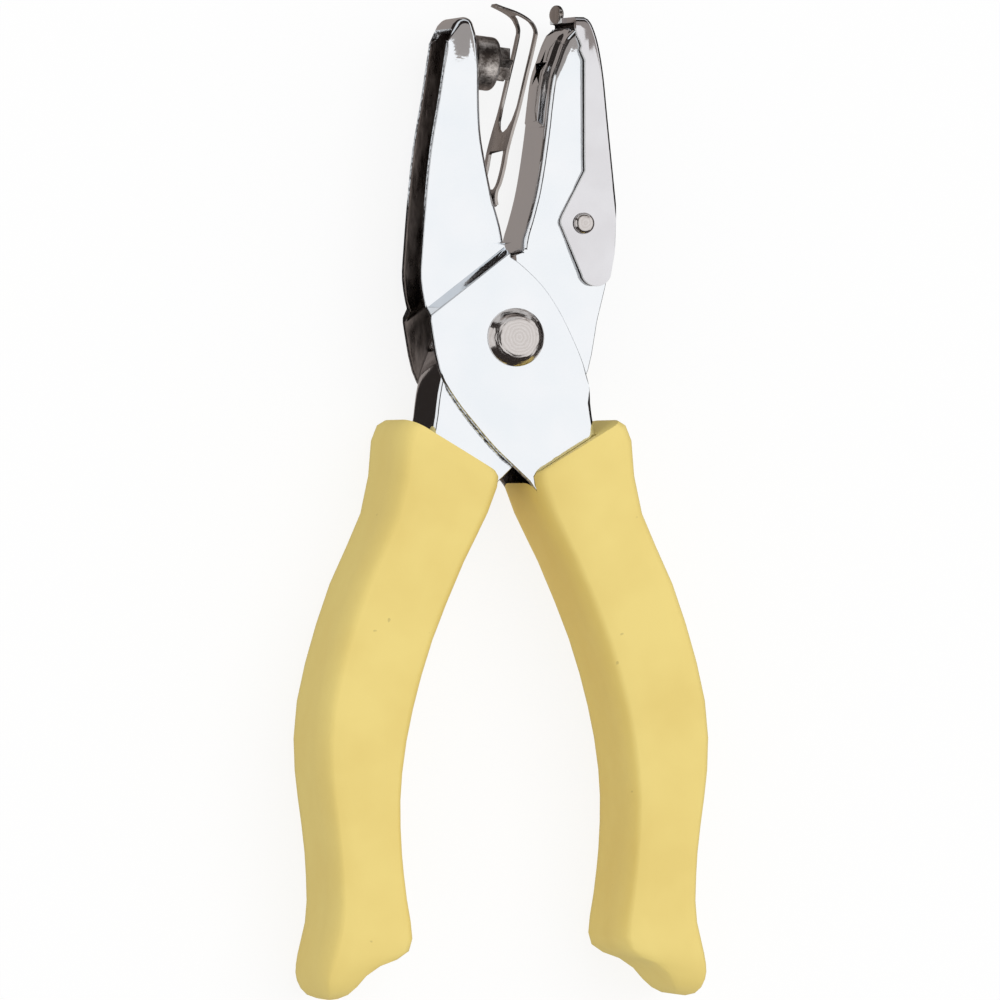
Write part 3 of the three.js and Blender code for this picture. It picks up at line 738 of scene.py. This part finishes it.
def stripper_rivet():
    """The small rivet that holds the leaf's root to the punch lever's web, a head at each end."""
    low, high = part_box("stripper_rivet")
    middle = (low + high) / 2 / MM
    length, shank, dome, wide = 1.6, 0.75, 0.45, 0.6
    profile = ([(0, -length - dome)] + arc(shank, -length + 0.05, wide, dome, -90, 0, 4)
               + [(shank, -length + 0.1), (shank, length - 0.1)]
               + arc(0.55, length, wide, dome, 0, 90, 4) + [(0, length + dome)])
    piece = turned("leaf_rivet", profile, steps=28)
    lay(piece, [(90, "Y"), (15, "Z")], middle.x, middle.y)
    shade(piece, 40)
    finish_with(piece, TOOL)
    hand_over(piece, "punch_side", "stripper_rivet")


def pivot_rivet():
    """The big rivet, with a low domed crown in front and a flat back."""
    low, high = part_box("pivot_rivet")
    foot, top, reach = low.z / MM, high.z / MM, high.x / MM
    shank = 2.6
    seat = CHEEK_HALF + 0.12
    brim = MIDDLE + seat + 0.1
    rise = top - brim
    sphere = (reach ** 2 + rise ** 2) / (2 * rise)
    rim_angle = math.degrees(math.asin((reach - 0.15) / sphere))
    crown = arc(0, top - sphere, sphere, sphere, 90 - rim_angle, 90, 18)
    profile = ([(0, foot), (reach - 0.7, foot), (reach - 0.2, foot + 0.25), (reach, foot + 0.7),
                (reach, MIDDLE - seat), (shank, MIDDLE - seat), (shank, MIDDLE + seat),
                (reach - 0.1, MIDDLE + seat)] + crown)
    piece = turned("pivot_rivet_head", profile, steps=96)
    ease(piece, 0.08, 2, 50)
    shade(piece, 30)
    finish_with(piece, RIVET)
    hand_over(piece, "die_side", "pivot_rivet")


def catcher_pin():
    """The pin that the catcher swings on, with a domed head outside each ear."""
    seat, wide, shank = COVER_HALF + 0.3, 1.6, 1.15
    head = [(wide, seat), (wide, seat + 0.1)] + arc(0, seat + 0.1, wide, 0.85, 8, 90, 10)
    profile = ([(r, MIDDLE - z) for r, z in reversed(head)]
               + [(shank, MIDDLE - seat), (shank, MIDDLE + seat)]
               + [(r, MIDDLE + z) for r, z in head])
    piece = turned("catcher_hinge_pin", profile, PIN_X, PIN_Y, 40)
    shade(piece)
    finish_with(piece, PIN)
    hand_over(piece, "die_side", "catcher_pin")


def return_spring():
    """Round wire wound on the sleeve."""
    low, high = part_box("return_spring")
    wire, turns, level = 1.3, 3, -24
    coil = high.y / MM - wire / 2
    foot = Vector((high.x / MM - wire / 2, level))
    touch = math.atan2(foot.y, foot.x) + math.acos(coil / foot.length)
    sweep = 2 * math.pi * turns + math.pi - 2 * touch
    climb = (high.z - low.z) / MM - wire
    steps = round(24 * sweep / (2 * math.pi))
    route = [(-foot.x, foot.y, MIDDLE - climb / 2)]
    for i in range(steps + 1):
        angle = math.pi - touch - sweep * i / steps
        route.append((coil * math.cos(angle), coil * math.sin(angle), MIDDLE + climb * (i / steps - 0.5)))
    route.append((foot.x, foot.y, MIDDLE + climb / 2))
    piece = traced("return_spring_wire", route)
    take(piece)
    bpy.ops.object.convert(target="CURVE")
    line = bpy.context.object.data
    line.bevel_depth = wire / 2 * MM
    line.bevel_resolution = 3
    line.use_fill_caps = True
    bpy.ops.object.convert(target="MESH")
    piece = bpy.context.object
    grab(piece)
    bpy.ops.mesh.remove_doubles(threshold=WELD * MM)
    bpy.ops.mesh.normals_make_consistent(inside=False)
    finish_with(piece, SPRING)
    shade(piece, 50)
    put_down()
    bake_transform(piece)
    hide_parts("return_spring")


# ---------------------------------------------------------------- chip catcher

def catcher():
    """The thin channel that rides on the die jaw, and the thumb tab on its nose."""
    back = smooth(COVER_BACK)
    ear = [(8.6, 48.0), (8.6, 46.9), (9.5, 46.4), (9.8, 45.2), (10.2, 44.5), (10.5, 43.7), (10.3, 43.1),
           (11.0, 41.6), (11.0, 27), (11.05, 25), (7.5, 18.3)]
    ear += arc(8.3, 17.3, 1.1, 1.1, 155, 215, 4)
    ear += [(10.6, 9.3)] + arc(12.8, 10.1, 2.4, 2.4, 205, 335, 12) + [(15.6, 12.5)]
    fold = [(16, 20.2)] + back[::-1][1:] + [(11.0, 48.0), (8.6, 48.0)]
    folded = middles(fold)
    piece = pressed("catcher_shell", ear + fold[:-1], folded, COVER_HALF)
    round_bends(piece, folded, COVER_BEND, 4)
    finish_with(piece, SATIN, INSIDE_PAINTED_SHADE, SATIN)
    thicken(piece, COVER_SHEET)
    ease(piece)
    drill(piece, PIN_X, PIN_Y, PIN_HOLE)
    for side, reach in ((-1, 9.8), (1, 11.4)):
        corner = blank("roof_corner", [(6, 3.1 * side), (9.0, 3.1 * side), (reach, 9 * side), (6, 9 * side)],
                       45.9, 49)
        lay(corner, [(-90, "X")])
        cut(piece, corner)
    tab = blank("catcher_tab", arc(0, 0, 2.7, 1.4, 0, 345, 23), 0, COVER_SHEET)
    finish_with(tab, TAB)
    ease(tab, 0.3, 4)
    lay(tab, [(90, "Y")], 8.3, 48.6)
    piece = joined("chip_catcher_cover", piece, tab)
    shade(piece)
    hand_over(piece, "cover", "catcher")


# ---------------------------------------------------------------- grips

# Each station down a grip: its inner and outer points and half its depth. The first few turn the
# mouth's lip over, and the last ones round the hooked foot.
GRIP_STATIONS = [
    (3.2, -20.3, 15.6, -12.6, 8.9), (2.6, -20.5, 16.5, -12.3, 9.6), (2.3, -21.1, 17.6, -13.0, 10),
    (2.5, -22.6, 18.5, -15.2, 10), (4.0, -26.4, 18.9, -20.5, 10), (6.0, -30.3, 20.1, -26.2, 10),
    (7.7, -33.6, 22.2, -31.0, 10), (10.4, -39.8, 24.9, -36.8, 10), (12.6, -45.3, 27.0, -42.8, 10),
    (14.3, -50.6, 28.7, -48.6, 10), (15.6, -55.5, 30.0, -54.4, 10), (16.6, -60.2, 30.5, -60.0, 10),
    (17.3, -65.0, 30.3, -64.8, 10), (17.6, -69.0, 29.8, -68.9, 10), (17.6, -73.0, 29.2, -73.0, 10),
    (17.4, -77.0, 28.7, -77.2, 10), (17.1, -80.0, 28.5, -80.6, 10), (16.6, -83.8, 28.4, -84.4, 10),
    (16.0, -87.0, 28.7, -87.6, 10), (15.7, -89.6, 29.4, -90.4, 10), (16.2, -91.4, 29.9, -92.4, 9.9),
    (18.0, -92.6, 30.15, -93.9, 9.7), (20.6, -93.5, 30.2, -95.2, 9.3), (22.8, -95.0, 30.0, -96.3, 8.8),
    (24.2, -96.7, 29.5, -97.5, 8.0), (25.3, -97.9, 28.8, -98.4, 6.5), (26.3, -98.6, 27.9, -98.8, 4.0),
]


def grip_section(half_wide, half_deep):
    """The section of a grip: flat sides, a faintly crowned front and back, and long soft corners."""
    across, deep, crown = 1.9, 5.0, 0.18
    flat = half_wide - across
    quarter = arc(flat, half_deep - deep, across, deep, 0, 90, 7)
    top = [(flat * k, half_deep + crown * (1 - k * k)) for k in (0.6, 0.3, 0)]
    right = quarter + top
    half = right + [(-x, z) for x, z in reversed(right[:-1])]
    return half + [(x, -z) for x, z in reversed(half)]


def grip(name, side, lever_half, body, node):
    """A moulded sleeve drawn down its handle from the mouth to the hooked foot, then hollowed."""
    xi, yi, xo, yo, deep = GRIP_STATIONS[0]
    wide = math.hypot(xo - xi, yo - yi) / 2
    piece = traced(name, [(x, 0, z) for x, z in grip_section(wide, deep)])
    bpy.ops.mesh.edge_face_add()
    bpy.ops.mesh.select_all(action="SELECT")
    centre, lean = Vector((0, 0, 0)), 0.0
    for i, (xi, yi, xo, yo, next_deep) in enumerate(GRIP_STATIONS):
        if i:
            bpy.ops.mesh.extrude_region_move()
        next_wide = math.hypot(xo - xi, yo - yi) / 2
        next_lean = math.degrees(math.atan2(yo - yi, xo - xi)) * side
        next_centre = Vector(((xi + xo) / 2 * side, (yi + yo) / 2, 0))
        turn(-lean, about=centre)
        bpy.ops.transform.resize(value=(next_wide / wide, 1, next_deep / deep),
                                 center_override=centre * MM)
        turn(next_lean, about=centre)
        shift(*(next_centre - centre))
        centre, lean, wide, deep = next_centre, next_lean, next_wide, next_deep
    bpy.ops.mesh.select_all(action="SELECT")
    shift(0, 0, MIDDLE)
    bpy.ops.mesh.normals_make_consistent(inside=False)
    put_down()
    gap = lever_half + 0.3
    channel = smooth(HANDLE_OUTER) + smooth(HANDLE_INNER)[::-1] + [(4, -6)]
    pocket = blank("handle_pocket", [(x * side, y) for x, y in channel], MIDDLE - gap, MIDDLE + gap)
    put_down()
    finish_with(piece, VINYL)
    cut(piece, pocket)
    shade(piece, 50)
    hand_over(piece, body, node)


# ---------------------------------------------------------------- studio, in metres

def plane(name, size, place, toward=None):
    """A flat card, facing up or toward a place."""
    put_down()
    bpy.ops.mesh.primitive_plane_add(size=1, location=place)
    card = bpy.context.object
    card.name = name
    card.scale = (size[0], size[1], 1)
    if toward is not None:
        card.rotation_mode = "QUATERNION"
        card.rotation_quaternion = (Vector(toward) - Vector(place)).to_track_quat("Z", "Y")
    return card


def glow(name, hex_code, strength):
    """A finish that only gives light."""
    m = finish_of(name)
    lamp = add(m, "ShaderNodeEmission", None, {"Color": colour(hex_code), "Strength": strength})
    add(m, "ShaderNodeOutputMaterial", {"Surface": lamp.outputs["Emission"]})
    return m


def mirror_card(name, size, place, toward, hex_code, strength=1.0):
    """A studio card that only bright metal reflects."""
    card = plane(name, size, place, toward)
    card.data.materials.append(glow(name + "_face", hex_code, strength))
    reflect_only(card)


def reflect_only(thing):
    """Hides a thing from everything but mirrors."""
    thing.visible_camera = False
    thing.visible_diffuse = False
    thing.visible_shadow = False
    thing.visible_transmission = False


def paper_floor():
    """White paper that mostly glows by itself, so it stays white and takes only faint shadows."""
    floor = plane("paper_floor", (6, 6), (0, 0, -0.0004))
    paper = finish_of("white_paper_floor")
    light = add(paper, "ShaderNodeEmission", None, {"Color": colour("#FFFFFF"), "Strength": 1.0})
    matt = add(paper, "ShaderNodeBsdfDiffuse", None, {"Color": colour("#FAFAFA")})
    mix = add(paper, "ShaderNodeMixShader", {1: light.outputs["Emission"], 2: matt.outputs["BSDF"]},
              {"Fac": 0.15})
    add(paper, "ShaderNodeOutputMaterial", {"Surface": mix.outputs["Shader"]})
    floor.data.materials.append(paper)


def sky_and_key():
    """An even white sky, and one large soft light overhead."""
    world = bpy.data.worlds.new("plain_studio")
    bpy.context.scene.world = world
    world.use_nodes = True
    sky = world.node_tree.nodes["Background"]
    sky.inputs["Color"].default_value = colour("#FFFFFF")
    sky.inputs["Strength"].default_value = 0.72

    sun_data = bpy.data.lights.new("overhead_soft_key", "SUN")
    sun_data.energy = 1.0
    sun_data.angle = math.radians(50)
    sun = bpy.data.objects.new("overhead_soft_key", sun_data)
    bpy.context.scene.collection.objects.link(sun)
    sun.rotation_mode = "QUATERNION"
    sun.rotation_quaternion = Vector((0.25, 0.35, 1)).to_track_quat("Z", "Y")
    sun.visible_glossy = False


def dark_tent():
    """A dark surround, which the metal mirrors wherever no card stands."""
    put_down()
    bpy.ops.mesh.primitive_uv_sphere_add(radius=1.4, segments=32, ring_count=16)
    tent = bpy.context.object
    tent.name = "dark_tent"
    tent.data.materials.append(glow("dark_tent_cloth", "#3B3634", 1.0))
    reflect_only(tent)


def mirror_cards():
    """White and grey cards for the flat faces, and dark felt for the bends and edges."""
    middle = (0, 0, 0.01)
    lean = math.radians(20)
    reach = 0.55
    mirror_card("soft_box", (1.38, 1.9), (math.sin(lean) * reach, 0, math.cos(lean) * reach), middle,
                "#FFFFFF")
    mirror_card("side_strip", (0.5, 0.36), (-0.5, 0, 0.2), (0, 0, 0.2), "#FFFFFF", 0.9)
    mirror_card("table_card", (2.5, 2.5), (0, 0, -0.0002), (0, 0, 1), "#938A85")
    mirror_card("nose_flag", (0.1, 0.018), (0.012, 0.0555, 0.045), (0.012, 0.0555, 0), "#9F9894")
    mirror_card("nose_shade", (0.1, 0.065), (0.012, 0.097, 0.045), (0.012, 0.097, 0), "#26211F")
    mirror_card("top_wall", (2.2, 1.0), (0, 0.9, 0.5), (0, 0, 0.5), "#DADCDE")
    mirror_card("felt_right", (0.6, 0.5), (0.309, 0, -0.0001), (0.309, 0, 1), "#1E1A18")
    mirror_card("bench_light", (0.026, 0.026), (-0.0205, 0.034, 0.0001), (-0.0205, 0.034, 1), "#DADCDE")
    mirror_card("felt_left", (0.6, 0.5), (-0.313, 0, -0.0001), (-0.313, 0, 1), "#2A2523")


def camera():
    """A long lens above the tool, turned a little to its left, with 150 mm of it in the frame."""
    turn_left = math.radians(16.5)
    lens, sensor, width = 400, 36, 0.150
    distance = width * lens / sensor
    data = bpy.data.cameras.new("camera")
    data.lens, data.sensor_width = lens, sensor
    data.clip_start, data.clip_end = 0.05, 50
    eye = bpy.data.objects.new("camera", data)
    bpy.context.scene.collection.objects.link(eye)
    back = Vector((-math.sin(turn_left), 0, math.cos(turn_left)))
    aim_at = Vector((-0.00015, -0.0243, MIDDLE * MM))
    eye.location = aim_at + back * distance
    up = Vector((0, 1, 0))
    eye.rotation_mode = "QUATERNION"
    eye.rotation_quaternion = Matrix((up.cross(back), up, back)).transposed().to_quaternion()
    bpy.context.scene.camera = eye


bpy.context.scene.view_settings.view_transform = "Standard"
camera()
paper_floor()
sky_and_key()
dark_tent()
mirror_cards()
punch_lever()
die_lever()
star_punch()
stripper_leaf()
stripper_rivet()
pivot_rivet()
catcher_pin()
catcher()
grip("grip_right_sleeve", 1, CHEEK_HALF, "punch_side", "grip_right")
grip("grip_left_sleeve", -1, DIE_HALF, "die_side", "grip_left")
return_spring()
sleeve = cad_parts["pivot_sleeve"]
sleeve.data.materials.clear()
sleeve.data.materials.append(SPRING)

put_down()
bpy.context.view_layer.update()
